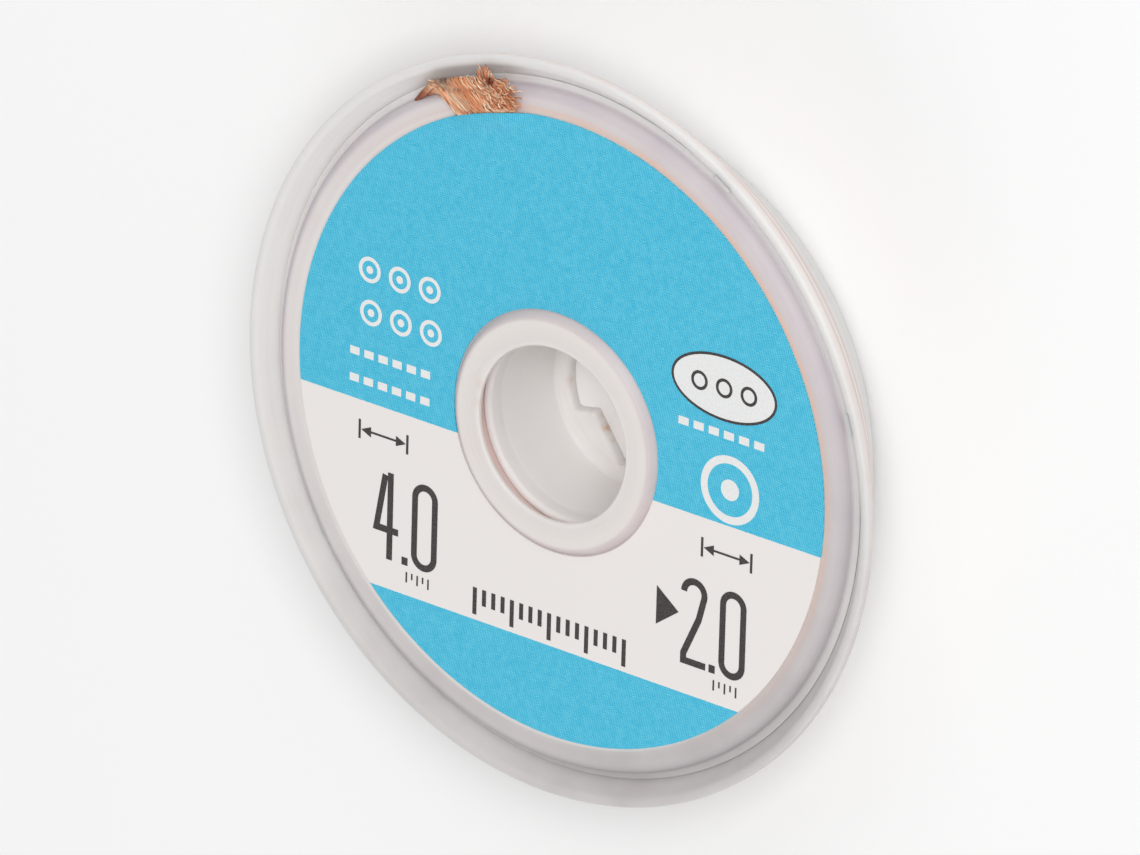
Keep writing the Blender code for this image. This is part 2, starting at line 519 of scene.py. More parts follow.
@dataclass(frozen=True)
class WoundCopper:
    """Copper braid in the roll, with its plaited wires as relief."""

    bright: Colour = linear(214, 132, 92)
    dark: Colour = linear(126, 62, 44)
    plaits: float = 150.0
    strand_height: float = 0.58
    plait_depth: float = 0.09

    def material(self) -> bpy.types.Material:
        """Build the material.

        Returns:
            The finished material.
        """
        graph = Graph("wound_copper")
        point = graph.place()
        x, y, z = graph.parts(point)
        radius = (x * x + y * y).root()
        turn = y.math("ARCTAN2", x)
        lay = (z + radius) * (FULL_TURN / self.strand_height)
        left = (turn * self.plaits + lay).sine()
        right = (turn * self.plaits - lay).sine()
        plait = (left * right) * 0.5 + 0.5
        dirt = graph.noise(point, 1.4, 3.0)
        shade = (plait * 0.7 + dirt * 0.5).rise(0.15, 0.95)
        return graph.dress(
            Base_Color=graph.blend(shade, self.dark, self.bright),
            Metallic=1.0,
            Roughness=0.52 - plait * 0.16,
            Normal=graph.relief(plait, self.plait_depth),
        )


@dataclass(frozen=True)
class BareWire:
    """Thin copper wire of the loose end, which differs from wire to wire, with painted shade between wires
    and painted highlights on pale wires.
    """

    orange: Colour = linear(234, 156, 108)
    # Flux colour of the leg, darkened as painted shade.
    flux_and_shade: Colour = linear(142, 80, 46)
    # Pale wires stand partly for painted highlights.
    pale: Colour = linear(255, 234, 202)
    # Painted shadow where wires lie deep, at strand sides and by the hollow, and darker wires in tone.
    gap_shadow_and_tone: Colour = linear(120, 40, 18)
    tarnish: Colour = linear(92, 82, 74)
    fold: tuple[float, float, float] = (-10.6, 24.5, 10.3)
    fold_near: float = 0.7
    fold_far: float = 1.55

    def material(self) -> bpy.types.Material:
        """Build the material.

        Returns:
            The finished material.
        """
        graph = Graph("bare_wire")
        point = graph.place()
        shade, depth, gold = (graph.attribute(name) for name in ("shade", "depth", "gold"))
        spots = graph.noise(point, 2.6, 3.0)
        # Paleness that differs from wire to wire, partly a painted highlight.
        colour = graph.blend(shade.rise(0.3, 1.0), self.orange, self.pale)
        # Flux colour on the leg, partly painted shade.
        colour = graph.blend(gold, colour, self.flux_and_shade)
        # Painted shadow from the depth mark, plus darker wires in tone.
        colour = graph.blend(depth, colour, self.gap_shadow_and_tone)
        dull = (graph.away(point, self.fold) + spots * 0.9).rise(self.fold_far, self.fold_near)
        colour = graph.blend(dull * 0.85, colour, self.tarnish)
        return graph.dress(
            Base_Color=colour,
            Metallic=0.3 - dull * 0.2,
            Roughness=spots * 0.2 + 0.32,
            Coat_Weight=gold * 0.2,
        )


@dataclass(frozen=True)
class Corner:
    """A corner of a turned section, rounded by a fillet."""

    radius: float
    height: float
    fillet: float = 0.0


class Section:
    """Closed section of a turned piece, in millimetres."""

    HOLD_SHARE = 0.12
    MERGE_REACH = 1e-7

    def __init__(self, corners: list[Corner], steps: int = 5) -> None:
        """Keep the corners in order.

        Args:
            corners: The corners, in order round the section.
            steps: How many straight pieces each fillet has.
        """
        self.corners = corners
        self.steps = steps

    def rounded(self, index: int) -> list[Vector]:
        """Points of one corner.

        Args:
            index: The corner's number.

        Returns:
            The corner itself, or its fillet with a point held at either side.
        """
        corner = self.corners[index]
        before = self.corners[index - 1]
        after = self.corners[(index + 1) % len(self.corners)]
        middle = Vector((corner.radius, corner.height))
        if corner.fillet <= 0.0:
            return [middle]
        back = (Vector((before.radius, before.height)) - middle).normalized()
        ahead = (Vector((after.radius, after.height)) - middle).normalized()
        half = 0.5 * back.angle(ahead)
        reach = corner.fillet / math.tan(half)
        centre = middle + (back + ahead).normalized() * corner.fillet / math.sin(half)
        start = middle + back * reach - centre
        end = middle + ahead * reach - centre
        sweep = start.angle_signed(end)
        hold = self.HOLD_SHARE * corner.fillet
        points = [middle + back * (reach + hold)]
        for step in range(self.steps + 1):
            points.append(centre + Matrix.Rotation(-sweep * step / self.steps, 2) @ start)
        points.append(middle + ahead * (reach + hold))
        return points

    def points(self) -> list[Vector]:
        """All points of the section in order."""
        return [point for index in range(len(self.corners)) for point in self.rounded(index)]

    def turned(self, segments: int) -> bmesh.types.BMesh:
        """Turn the section about Z.

        Args:
            segments: How many segments a full turn has.

        Returns:
            The turned body.
        """
        body = bmesh.new()
        verts = [body.verts.new((point.x * MM, 0.0, point.y * MM)) for point in self.points()]
        edges = [body.edges.new((verts[index - 1], verts[index])) for index in range(len(verts))]
        bmesh.ops.spin(
            body,
            geom=verts + edges,
            axis=(0.0, 0.0, 1.0),
            cent=(0.0, 0.0, 0.0),
            angle=FULL_TURN,
            steps=segments,
            use_merge=True,
        )
        bmesh.ops.remove_doubles(body, verts=body.verts, dist=self.MERGE_REACH)
        bmesh.ops.recalc_face_normals(body, faces=body.faces)
        return body


@dataclass
class Piece:
    """A visible piece that rides on the bobbin."""

    name: str
    slot: Slot
    stands_for: tuple[str, ...] = ()

    def shape(self) -> bmesh.types.BMesh:
        """Shape of the piece, which each kind of piece makes in its own way."""
        raise NotImplementedError

    def mesh(self) -> bpy.types.Mesh:
        """Mesh of the piece.

        Returns:
            The mesh, made from the piece's shape.
        """
        mesh = bpy.data.meshes.new(self.name)
        body = self.shape()
        body.to_mesh(mesh)
        body.free()
        return mesh

    def build(self, material: bpy.types.Material) -> bpy.types.Object:
        """Build the piece, dress it and seat it in the frame.

        Args:
            material: Its finish.

        Returns:
            The object.
        """
        mesh = self.mesh()
        mesh.materials.clear()
        mesh.materials.append(material)
        mesh.shade_smooth()
        mesh.set_sharp_from_angle(angle=SHARP_ANGLE)
        piece = bpy.data.objects.new(self.name, mesh)
        bpy.context.scene.collection.objects.link(piece)
        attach(piece, BODY)
        if self.stands_for:
            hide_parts(*self.stands_for)
        LOG.info("%s: %d faces", self.name, len(mesh.polygons))
        return piece


@dataclass
class BobbinDish(Piece):
    """Conical dish with the hub sleeve and the keyed hole in its floor."""

    name: str = "bobbin_dish_fine"
    slot: Slot = Slot.DISH
    stands_for: tuple[str, ...] = ("bobbin_dish",)
    segments: int = 360
    rim_radius: float = 28.05
    height: float = 10.05
    band: float = 0.7
    taper: float = math.radians(37.4)
    wall: float = 1.15
    floor: float = 1.0
    sleeve_bore: float = 7.0
    sleeve_wall: float = 0.6
    sleeve_top: float = 8.5
    sleeve_step: float = 0.03
    sleeve_step_depth: float = 1.3
    hole_radius: float = 5.9
    hole_edge: float = 0.32
    key_face: float = 4.2
    key_direction: float = math.radians(215.6)
    key_first: float = math.radians(-11.0)
    key_last: float = math.radians(44.6)
    key_soft: float = math.radians(9.0)
    lug_angles: tuple[float, ...] = (58.6, 17.6)
    lug_length: float = 1.6
    lug_reach: float = 0.24
    lug_height: float = 0.36
    lug_drop: float = 0.1
    lug_round: float = 0.1
    hole_round: float = 0.1
    hole_margin: float = 0.15
    back_round: float = 0.9
    foot_round: float = 0.45
    rim_round: float = 0.2
    wall_round: float = 0.6
    sleeve_foot_round: float = 0.4
    sleeve_edge_round: float = 0.14
    sleeve_lip_round: float = 0.34
    sleeve_margin: float = 0.35
    step_round: float = 0.3

    def cone(self, height: float) -> float:
        """Outer radius of the cone at a height over the back face."""
        return self.rim_radius - (self.height - self.band - height) * math.tan(self.taper)

    def inside(self, height: float) -> float:
        """Radius of the dish's inner wall at a height over the back face."""
        return self.cone(height) - self.wall

    def section(self) -> Section:
        """Section of the dish, from the floor's hole round the rim and back.

        Returns:
            The section.
        """
        foot = self.height - self.band
        sleeve_side = self.sleeve_bore + self.sleeve_wall
        step_bore = self.sleeve_bore + self.sleeve_step
        step_height = self.sleeve_top - self.sleeve_step_depth
        return Section(
            [
                Corner(self.hole_radius, 0.0, self.hole_round),
                Corner(self.cone(0.0), 0.0, self.back_round),
                Corner(self.rim_radius, foot, self.foot_round),
                Corner(self.rim_radius, self.height, self.rim_round),
                Corner(self.inside(self.height), self.height, self.wall_round),
                Corner(self.inside(self.floor), self.floor, self.wall_round),
                Corner(sleeve_side, self.floor, self.sleeve_foot_round),
                Corner(sleeve_side, self.sleeve_top, self.sleeve_edge_round),
                Corner(step_bore, self.sleeve_top, self.sleeve_lip_round),
                Corner(step_bore, step_height, self.step_round),
                Corner(self.sleeve_bore, step_height - self.step_round, self.step_round),
                Corner(self.sleeve_bore, self.floor, self.step_round),
                Corner(self.hole_radius, self.floor, self.hole_edge),
            ]
        )

    def shape_hole(self, body: bmesh.types.BMesh) -> None:
        """Move the floor's hole inwards where the key is.

        Args:
            body: The dish, whose hole is round before.
        """
        inner = self.hole_radius + self.hole_edge + self.hole_margin
        outer = self.sleeve_bore - self.sleeve_margin
        for vert in body.verts:
            radius = vert.co.xy.length / MM
            if radius >= outer or vert.co.z > 1.5 * self.floor * MM:
                continue
            turn = math.atan2(vert.co.y, vert.co.x) - self.key_direction
            turn = (turn + math.pi) % FULL_TURN - math.pi
            if self.key_first < turn < self.key_last:
                share = min(1.0, (outer - radius) / (outer - inner))
                start = min(1.0, (turn - self.key_first) / self.key_soft)
                share *= start * start * (3.0 - 2.0 * start)
                wanted = self.key_face / math.cos(turn)
                vert.co.xy *= (radius + (wanted - self.hole_radius) * share) / radius

    def add_lugs(self, body: bmesh.types.BMesh) -> None:
        """Add the small snap lugs that stand out of the mouth's inner wall.

        Args:
            body: The dish, which takes them in.
        """
        depth = 2.0 * self.lug_reach
        level = self.height - self.lug_drop - 0.5 * self.lug_height
        middle = Vector((self.inside(level), 0.0, level))
        size = Matrix.Diagonal((depth, self.lug_length, self.lug_height, 1.0))
        for angle in self.lug_angles:
            turn = Matrix.Rotation(math.radians(angle), 4, "Z")
            place = Matrix.Scale(MM, 4) @ turn @ Matrix.Translation(middle) @ size
            made = bmesh.ops.create_cube(body, size=1.0, matrix=place)
            edges = list({edge for vert in made["verts"] for edge in vert.link_edges})
            bmesh.ops.bevel(
                body,
                geom=edges,
                offset=self.lug_round * MM,
                affect="EDGES",
                segments=3,
                profile=0.5,
                material=-1,
            )

    def shape(self) -> bmesh.types.BMesh:
        """Shape of the dish.

        Returns:
            The turned dish, with its keyed hole and its lugs.
        """
        body = self.section().turned(self.segments)
        self.shape_hole(body)
        self.add_lugs(body)
        return body


@dataclass
class BobbinCover(Piece):
    """Round cover with a raised ring round its bore."""

    name: str = "bobbin_cover_fine"
    slot: Slot = Slot.COVER
    stands_for: tuple[str, ...] = ("bobbin_cover",)
    segments: int = 256
    radius: float = 25.7
    face: float = 9.7
    edge: float = 0.8
    plate: float = 0.95
    skirt: float = 0.45
    skirt_wall: float = 0.75
    flange_reach: float = 0.67
    flange_height: float = 0.38
    flange_slant: float = 0.3
    ring_bore: float = 6.63
    ring_foot: float = 9.15
    ring_raise: float = 0.6
    ring_draft: float = 0.42
    ring_lip: float = 0.35
    collar_inner: float = 7.67
    collar_outer: float = 7.87
    collar_foot: float = 7.9
    collar_rise: float = 0.5
    bore_round: float = 0.18
    ring_round: float = 0.45
    foot_round: float = 0.08
    plate_round: float = 0.1
    flange_round: float = 0.06
    skirt_round: float = 0.12
    collar_round: float = 0.05
    shoulder_round: float = 0.2

    def section(self) -> Section:
        """Section of the cover: ring, face, rounded edge, snap flange, underside and collar.

        Returns:
            The section.
        """
        top = self.face + self.ring_raise
        underside = self.face - self.plate
        foot = underside - self.skirt
        flange = self.radius + self.flange_reach
        return Section(
            [
                Corner(self.ring_bore, top, self.bore_round),
                Corner(self.ring_foot - self.ring_draft, top, self.ring_round),
                Corner(self.ring_foot, self.face, self.foot_round),
                Corner(self.radius, self.face, self.edge),
                Corner(self.radius, foot + self.flange_height, self.plate_round),
                Corner(flange, foot + self.flange_height, self.flange_round),
                Corner(flange - self.flange_slant, foot, self.flange_round),
                Corner(self.radius - self.skirt_wall, foot, self.skirt_round),
                Corner(self.radius - self.skirt_wall, underside, self.skirt_round),
                Corner(self.collar_outer, underside, self.plate_round),
                Corner(self.collar_outer, self.collar_foot, self.collar_round),
                Corner(self.collar_inner, self.collar_foot, self.collar_round),
                Corner(self.collar_inner, underside + self.collar_rise, self.shoulder_round),
                Corner(self.ring_bore, top - self.ring_lip, self.collar_round),
            ],
            steps=7,
        )

    def shape(self) -> bmesh.types.BMesh:
        """Shape of the cover."""
        return self.section().turned(self.segments)


@dataclass
class PaperLabel(Piece):
    """Ring-shaped paper label, which bulges over the tucked end of the braid."""

    name: str = "label_paper_ring"
    slot: Slot = Slot.LABEL
    stands_for: tuple[str, ...] = ("label",)
    segments: int = 256
    inner: float = 9.25
    outer: float = 23.75
    bottom: float = 9.705
    thickness: float = 0.11
    rows: int = 40
    shift: float = 0.3
    shift_angle: float = CAMERA_SIDE
    bulge: float = 0.5
    bulge_angle: float = math.radians(107.0)
    bulge_half: float = math.radians(10.5)
    bulge_reach: float = 1.9
    bulge_rows: int = 10
    bulge_flatness: float = 1.35

    def section(self) -> Section:
        """Thin section with points along its top and bottom.

        Returns:
            The section.
        """
        run = self.outer - self.inner
        stops = [self.inner + run * row / self.rows for row in range(self.rows + 1)]
        rows = range(1, self.bulge_rows)
        stops += [self.outer - self.bulge_reach * row / self.bulge_rows for row in rows]
        stops = sorted(set(stops))
        under = [Corner(stop, self.bottom) for stop in stops]
        over = [Corner(stop, self.bottom + self.thickness) for stop in reversed(stops)]
        return Section(under + over)

    def lift(self, x: float, y: float) -> float:
        """Height of the bulge over the tucked braid at a point.

        Args:
            x: The point's x.
            y: The point's y.

        Returns:
            The lift in millimetres.
        """
        radius = math.hypot(x, y)
        aside = abs(math.atan2(y, x) - self.bulge_angle) / self.bulge_half
        inward = (self.outer - radius) / self.bulge_reach
        if aside >= 1.0 or inward >= 1.0:
            return 0.0
        across = 0.5 + 0.5 * math.cos(math.pi * aside)
        across = min(1.0, self.bulge_flatness * across)
        return self.bulge * across * (0.5 + 0.5 * math.cos(math.pi * max(0.0, inward)))

    def shape(self) -> bmesh.types.BMesh:
        """Shape of the label.

        Returns:
            The turned ring, shifted aside and lifted over the braid.
        """
        body = self.section().turned(self.segments)
        run = self.outer - self.inner
        for vert in body.verts:
            x = vert.co.x / MM
            y = vert.co.y / MM
            share = (math.hypot(x, y) - self.inner) / run
            vert.co.z += self.lift(x, y) * MM
            vert.co.x += self.shift * share * math.cos(self.shift_angle) * MM
            vert.co.y += self.shift * share * math.sin(self.shift_angle) * MM
        return body


@dataclass
class BraidRoll(Piece):
    """The wound braid, whose turns show on its ends."""

    name: str = "braid_roll_fine"
    slot: Slot = Slot.ROLL
    stands_for: tuple[str, ...] = ("braid_roll",)
    segments: int = 256
    inner: float = 7.9
    outer: float = 23.3
    bottom: float = 4.95
    top: float = 8.45
    turns: int = 15
    groove: float = 0.28
    turn_profile: tuple[Spot, ...] = ((0.03, 1.0), (0.2, 0.25), (0.5, 0.0), (0.8, 0.25), (0.97, 1.0))

    def shape(self) -> bmesh.types.BMesh:
        """Shape of the roll.

        Returns:
            The turned roll, with a groove between its turns.
        """
        pitch = (self.outer - self.inner) / self.turns
        upper = []
        lower = []
        for turn in range(self.turns):
            start = self.inner + turn * pitch
            for share, depth in self.turn_profile:
                radius = start + share * pitch
                upper.append(Corner(radius, self.top - depth * self.groove))
                lower.append(Corner(radius, self.bottom + depth * self.groove))
        return Section(lower + upper[::-1]).turned(self.segments)


class WireBundle:
    """Many thin wires that become one mesh, with a value of each wire on its points."""

    def __init__(self, radius: float) -> None:
        """Start an empty bundle.

        Args:
            radius: The wires' radius in millimetres.
        """
        self.curve = bpy.data.curves.new("wires", "CURVE")
        self.curve.dimensions = "3D"
        self.curve.bevel_depth = radius * MM
        self.curve.bevel_resolution = 1
        self.marks: dict[str, list[float]] = {"shade": [], "depth": [], "gold": []}

    def add(self, points: list[Vector], shade: float, shade_and_tone_depths: list[float], golds: list[float]) -> None:
        """Add one wire.

        Args:
            points: The points that it follows, in millimetres.
            shade: How pale the wire is, from 0 to 1; the pale wires stand partly for painted highlights.
            shade_and_tone_depths: How dark it is painted at each point: painted shade where it lies deep
                in the braid or near the hollow, plus its own darker tone.
            golds: How much of the dark flux colour it has at each point, which is partly painted shade.
        """
        spline = self.curve.splines.new("POLY")
        spline.points.add(len(points) - 1)
        for target, point in zip(spline.points, points):
            target.co = (*(point * MM), 1.0)
        self.marks["shade"] += [shade] * len(points)
        self.marks["depth"] += shade_and_tone_depths
        self.marks["gold"] += golds

    def mesh(self) -> bpy.types.Mesh:
        """Turn the bundle into a mesh with the wires' values.

        Returns:
            The mesh.
        """
        holder = bpy.data.objects.new("wires", self.curve)
        bpy.context.scene.collection.objects.link(holder)
        ready = holder.evaluated_get(bpy.context.evaluated_depsgraph_get())
        made = bpy.data.meshes.new_from_object(ready)
        bpy.data.objects.remove(holder)
        sides = len(made.vertices) // len(self.marks["shade"])
        for name, values in self.marks.items():
            spread = [value for value in values for _ in range(sides)]
            attribute = made.attributes.new(name, "FLOAT", "POINT")
            attribute.data.foreach_set("value", spread)
        body = bmesh.new()
        body.from_mesh(made)
        bmesh.ops.holes_fill(body, edges=body.edges, sides=sides)
        bmesh.ops.recalc_face_normals(body, faces=body.faces)
        body.to_mesh(made)
        body.free()
        return made


@dataclass(frozen=True)
class Station:
    """Cross-section of the strip: its angle in degrees, and its two edges."""

    angle: float
    outer: tuple[float, float]
    inner: tuple[float, float]
    half: float = 0.17

    def numbers(self) -> list[float]:
        """All its values in a row."""
        return [self.angle, *self.outer, *self.inner, self.half]


class Strip:
    """The bent, twisted strip that the woven wires follow."""

    def __init__(self, stations: list[Station], fineness: int = 40) -> None:
        """Measure the strip.

        Args:
            stations: Its cross-sections in order.
            fineness: How many samples lie between two stations.
        """
        rows = [station.numbers() for station in stations]
        rows = [rows[0], *rows, rows[-1]]
        self.samples: list[tuple[Vector, Vector, float]] = []
        for index in range(1, len(rows) - 2):
            for step in range(fineness):
                share = step / fineness
                values = [self.smooth(four, share) for four in zip(*rows[index - 1 : index + 3])]
                self.samples.append(self.edges(values))
        self.samples.append(self.edges(rows[-1]))
        self.lengths = [0.0]
        for before, after in zip(self.samples, self.samples[1:]):
            step = 0.5 * (after[0] + after[1]) - 0.5 * (before[0] + before[1])
            self.lengths.append(self.lengths[-1] + step.length)
        self.length = self.lengths[-1]

    @staticmethod
    def smooth(four: tuple[float, ...], share: float) -> float:
        """Value on a smooth curve through four values, between the middle two.

        Args:
            four: The values in order.
            share: How far on from the second to the third.

        Returns:
            The value.
        """
        before, low, high, after = four
        slope = 0.5 * (high - before)
        square = before - 2.5 * low + 2.0 * high - 0.5 * after
        cube = 0.5 * (after - before) + 1.5 * (low - high)
        return low + share * (slope + share * (square + share * cube))

    @staticmethod
    def edges(values: list[float]) -> tuple[Vector, Vector, float]:
        """Edges of a cross-section.

        Args:
            values: A station's values in a row.

        Returns:
            Its outer point, its inner point and its half thickness.
        """
        angle = math.radians(values[0])
        way = Vector((math.cos(angle), math.sin(angle), 0.0))
        rise = Vector((0.0, 0.0, 1.0))
        outer = way * values[1] + rise * values[2]
        inner = way * values[3] + rise * values[4]
        return outer, inner, values[5]

    def at(self, along: float) -> tuple[Vector, Vector, Vector, float]:
        """Cross-section at a length along the strip.

        Args:
            along: The length in millimetres, which may run past the end.

        Returns:
            Outer point, inner point, the way on, and the half thickness.
        """
        inside = min(max(along, 0.0), self.length - 1e-6)
        low = 0
        high = len(self.lengths) - 1
        while high - low > 1:
            middle = (low + high) // 2
            if self.lengths[middle] <= inside:
                low = middle
            else:
                high = middle
        share = (inside - self.lengths[low]) / (self.lengths[high] - self.lengths[low])
        first = self.samples[low]
        second = self.samples[high]
        outer = first[0].lerp(second[0], share)
        inner = first[1].lerp(second[1], share)
        way = (0.5 * (second[0] + second[1] - first[0] - first[1])).normalized()
        past = way * (along - inside)
        return outer + past, inner + past, way, first[2] + (second[2] - first[2]) * share

    def point(self, along: float, around: float, lift: float) -> Vector:
        """Point on the flattened tube that the strip is.

        Args:
            along: Length along the strip in millimetres.
            around: Place round the tube: 0 to 1 is the front, 1 to 2 the back.
            lift: How far the point stands off the tube.

        Returns:
            The point in millimetres.
        """
        outer, inner, way, half = self.at(along)
        turn = around % 2.0
        front = turn < 1.0
        across = turn if front else 2.0 - turn
        side = 1.0 if front else -1.0
        body = (1.0 - (2.0 * across - 1.0) ** 6) ** 0.5
        normal = way.cross(outer - inner).normalized()
        spread = inner - outer
        edge = spread.normalized() * lift * (2.0 * across - 1.0) ** 5
        return outer + spread * across + normal * (half + lift) * body * side + edge


@dataclass(frozen=True)
class Tuft:
    """Loose wires that start near one place.

    The heading is given outwards from the axis, along the strip, and up.
    """

    angle: float
    radius: float
    height: float
    spread: float
    heading: tuple[float, float, float]
    jitter: float
    lengths: tuple[float, float]
    count: int


@dataclass
class BraidEnd(Piece):
    """Loose end of the braid: woven wires that leave the gap, twist flat and fray."""

    name: str = "braid_end_wires"
    slot: Slot = Slot.TAIL
    stands_for: tuple[str, ...] = ("braid_tail",)
    label: PaperLabel = field(default_factory=PaperLabel)
    strands: int = 8
    wires: int = 6
    wire_radius: float = 0.042
    wire_pitch: float = 0.073
    strand_round: float = 0.02
    ceiling: float = 10.88
    width: float = 3.5
    lay: float = 2.2
    step: float = 0.1
    weave: float = 0.08
    one_sided: float = 0.95
    fray_start: float = 0.7
    fray_past: float = 0.35
    fray_short: float = 0.7
    fray_spread: float = 0.4
    fray_rise: float = 0.08
    fray_lift: float = 0.2
    fray_bend: float = 1.6
    loose_start: float = 0.45
    loose_rise: float = 2.4
    loose_steps: int = 14
    own_share: float = 0.6
    wanders: tuple[Spot, ...] = ((0.9, 0.16), (2.5, 0.06))
    label_share: float = 0.3
    label_reach: float = 0.6
    paper_gap: float = 1.3
    roof_slope: float = 1.2
    hollow: tuple[float, float, float] = (-6.24, 25.6, 10.55)
    hollow_reach: float = 0.52
    hollow_sink: float = 0.4
    leg_share: float = 0.5
    seed: int = 11
    tufts: tuple[Tuft, ...] = (
        Tuft(104.6, 26.3, 10.5, 0.5, (0.9, 0.1, 0.15), 0.4, (0.35, 0.8), 56),
        Tuft(103.2, 26.25, 10.45, 0.3, (-0.45, 1.0, 0.0), 0.22, (0.7, 1.5), 34),
        Tuft(102.0, 25.5, 10.3, 0.4, (-0.15, 1.0, 0.0), 0.22, (0.6, 1.3), 34),
        Tuft(101.8, 24.8, 10.15, 0.5, (-0.45, 0.8, 0.0), 0.28, (0.5, 1.1), 28),
        Tuft(104.0, 25.2, 10.5, 0.75, (-0.8, 0.75, 0.0), 0.25, (0.9, 1.7), 60),
        Tuft(106.5, 25.6, 10.5, 0.6, (-0.75, 0.8, 0.0), 0.22, (0.8, 1.4), 26),
        Tuft(115.0, 26.5, 10.4, 0.06, (0.45, -1.0, 0.2), 0.2, (0.7, 1.0), 2),
        Tuft(113.2, 24.4, 9.85, 0.15, (-0.75, -0.5, 0.0), 0.2, (0.6, 0.9), 3),
    )
    stations: tuple[Station, ...] = (
        Station(128.0, (25.35, 8.2), (25.0, 5.2)),
        Station(126.0, (25.4, 8.5), (25.1, 5.6)),
        Station(123.8, (25.5, 9.0), (25.25, 6.4)),
        Station(121.5, (25.75, 9.4), (25.45, 7.4)),
        Station(119.2, (26.05, 9.8), (25.6, 8.3)),
        Station(116.8, (26.4, 10.15), (25.5, 9.2)),
        Station(115.0, (26.6, 10.3), (25.2, 9.85)),
        Station(113.8, (26.62, 10.32), (24.4, 9.93)),
        Station(112.6, (26.6, 10.32), (23.5, 9.93)),
        Station(111.0, (26.58, 10.32), (23.1, 9.93)),
        Station(107.0, (26.5, 10.32), (22.9, 9.93)),
        Station(104.0, (26.3, 10.3), (23.1, 9.93)),
        Station(101.6, (26.0, 10.2), (23.4, 9.92)),
    )

    def mesh(self) -> bpy.types.Mesh:
        """Mesh of the woven end.

        Returns:
            The mesh of all its wires.
        """
        chance = random.Random(self.seed)
        strip = Strip(list(self.stations))
        bundle = WireBundle(self.wire_radius)
        for way in (1.0, -1.0):
            for strand in range(self.strands):
                common = Vector([chance.uniform(-1.0, 1.0) for _ in range(3)])
                for wire in range(self.wires):
                    self.weave_wire(bundle, strip, way, strand, wire, common, chance)
        for tuft in self.tufts:
            for _ in range(tuft.count):
                self.loose_wire(bundle, tuft, chance)
        return bundle.mesh()

    def fray(self, strip: Strip, along: float, own: Vector) -> Vector:
        """How far a wire has left the weave near the cut end.

        Args:
            strip: The strip.
            along: Length along the strip.
            own: The wire's own wish to spread.

        Returns:
            The shift in millimetres.
        """
        start = self.fray_start * strip.length
        past = max(0.0, along - start) / (strip.length - start)
        outer, inner, way, _ = strip.at(along)
        outward = (outer - inner).normalized()
        normal = way.cross(outer - inner).normalized()
        spread = outward * own.x * self.fray_spread
        spread += normal * (self.fray_rise + self.fray_lift * own.y)
        spread += way * own.z * self.fray_lift
        return spread * past**self.fray_bend

    def shadow(self, point: Vector) -> float:
        """How near a point is to the dark hollow in the frayed end, from 0 to 1."""
        return max(0.0, 1.0 - (point - Vector(self.hollow)).length / self.hollow_reach)

    def press(self, point: Vector) -> Vector:
        """Keep a point over the cover, and under the label where that covers it.

        Args:
            point: The point in millimetres.

        Returns:
            The point in its place.
        """
        point.z = min(point.z, self.ceiling)
        radius = point.xy.length
        edge = self.label.outer + self.label.shift * self.label_share
        if radius > edge + self.label_reach:
            return point
        paper = self.label.bottom + self.label.lift(point.x, point.y) - self.paper_gap * self.wire_radius
        roof = paper + self.roof_slope * max(0.0, radius - edge)
        face = self.label.bottom + self.wire_radius
        return Vector((point.x, point.y, max(face, min(point.z, roof))))

    def weave_wire(
        self,
        bundle: WireBundle,
        strip: Strip,
        way: float,
        strand: int,
        wire: int,
        common: Vector,
        chance: random.Random,
    ) -> None:
        """Lay one wire of a strand round the strip.

        Args:
            bundle: The bundle that it joins.
            strip: The strip.
            way: Which way round the strand goes, 1 or -1.
            strand: The strand's number.
            wire: The wire's number in its strand.
            common: The strand's wish to spread.
            chance: The source of chance.
        """
        own = Vector([chance.uniform(-1.0, 1.0) for _ in range(3)])
        own = common * self.own_share + own * self.own_share
        shade = chance.random()
        end = strip.length + chance.uniform(-self.fray_short, self.fray_past)
        start = 2.0 * strand / self.strands + (0.1 if way < 0.0 else 0.0)
        slant = math.hypot(self.lay, self.width) / self.lay
        aside = (wire - 0.5 * (self.wires - 1)) * self.wire_pitch * slant / self.width
        drift = Vector([chance.uniform(0.0, 50.0) for _ in range(3)])
        side = (2.0 * wire / (self.wires - 1) - 1.0) ** 2
        tone = 0.6 * chance.random() ** 3
        points = []
        shade_and_tone_depths = []
        golds = []
        along = 0.0
        while along < end:
            turn = start + way * along / self.lay + aside
            wave = (math.cos(turn * math.pi * self.strands / 2.0) + self.one_sided) * way
            lift = self.weave * max(-1.0, min(1.0, 1.6 * wave)) - self.strand_round * side
            point = strip.point(along, turn, lift) + self.fray(strip, along, own)
            loose = (along / strip.length - self.loose_start) * self.loose_rise
            loose = min(1.0, max(0.0, loose))
            wander = Vector((0.0, 0.0, 0.0))
            for scale, reach in self.wanders:
                wander += noise.noise_vector(point * scale + drift) * reach * loose
            point += wander
            near = self.shadow(point)
            point.z -= self.hollow_sink * near
            points.append(self.press(point))
            # Painted shade: darker where the wire dips under, at the strand's sides and by the hollow,
            # plus its darker tone.
            shade_and_tone_depths.append(min(1.0, max(0.0, 0.2 - 0.4 * wave) + 0.12 * side + 0.8 * near + tone))
            golds.append(min(1.0, max(0.0, 5.0 * (self.leg_share - along / strip.length))))
            along += self.step
        bundle.add(points, shade, shade_and_tone_depths, golds)

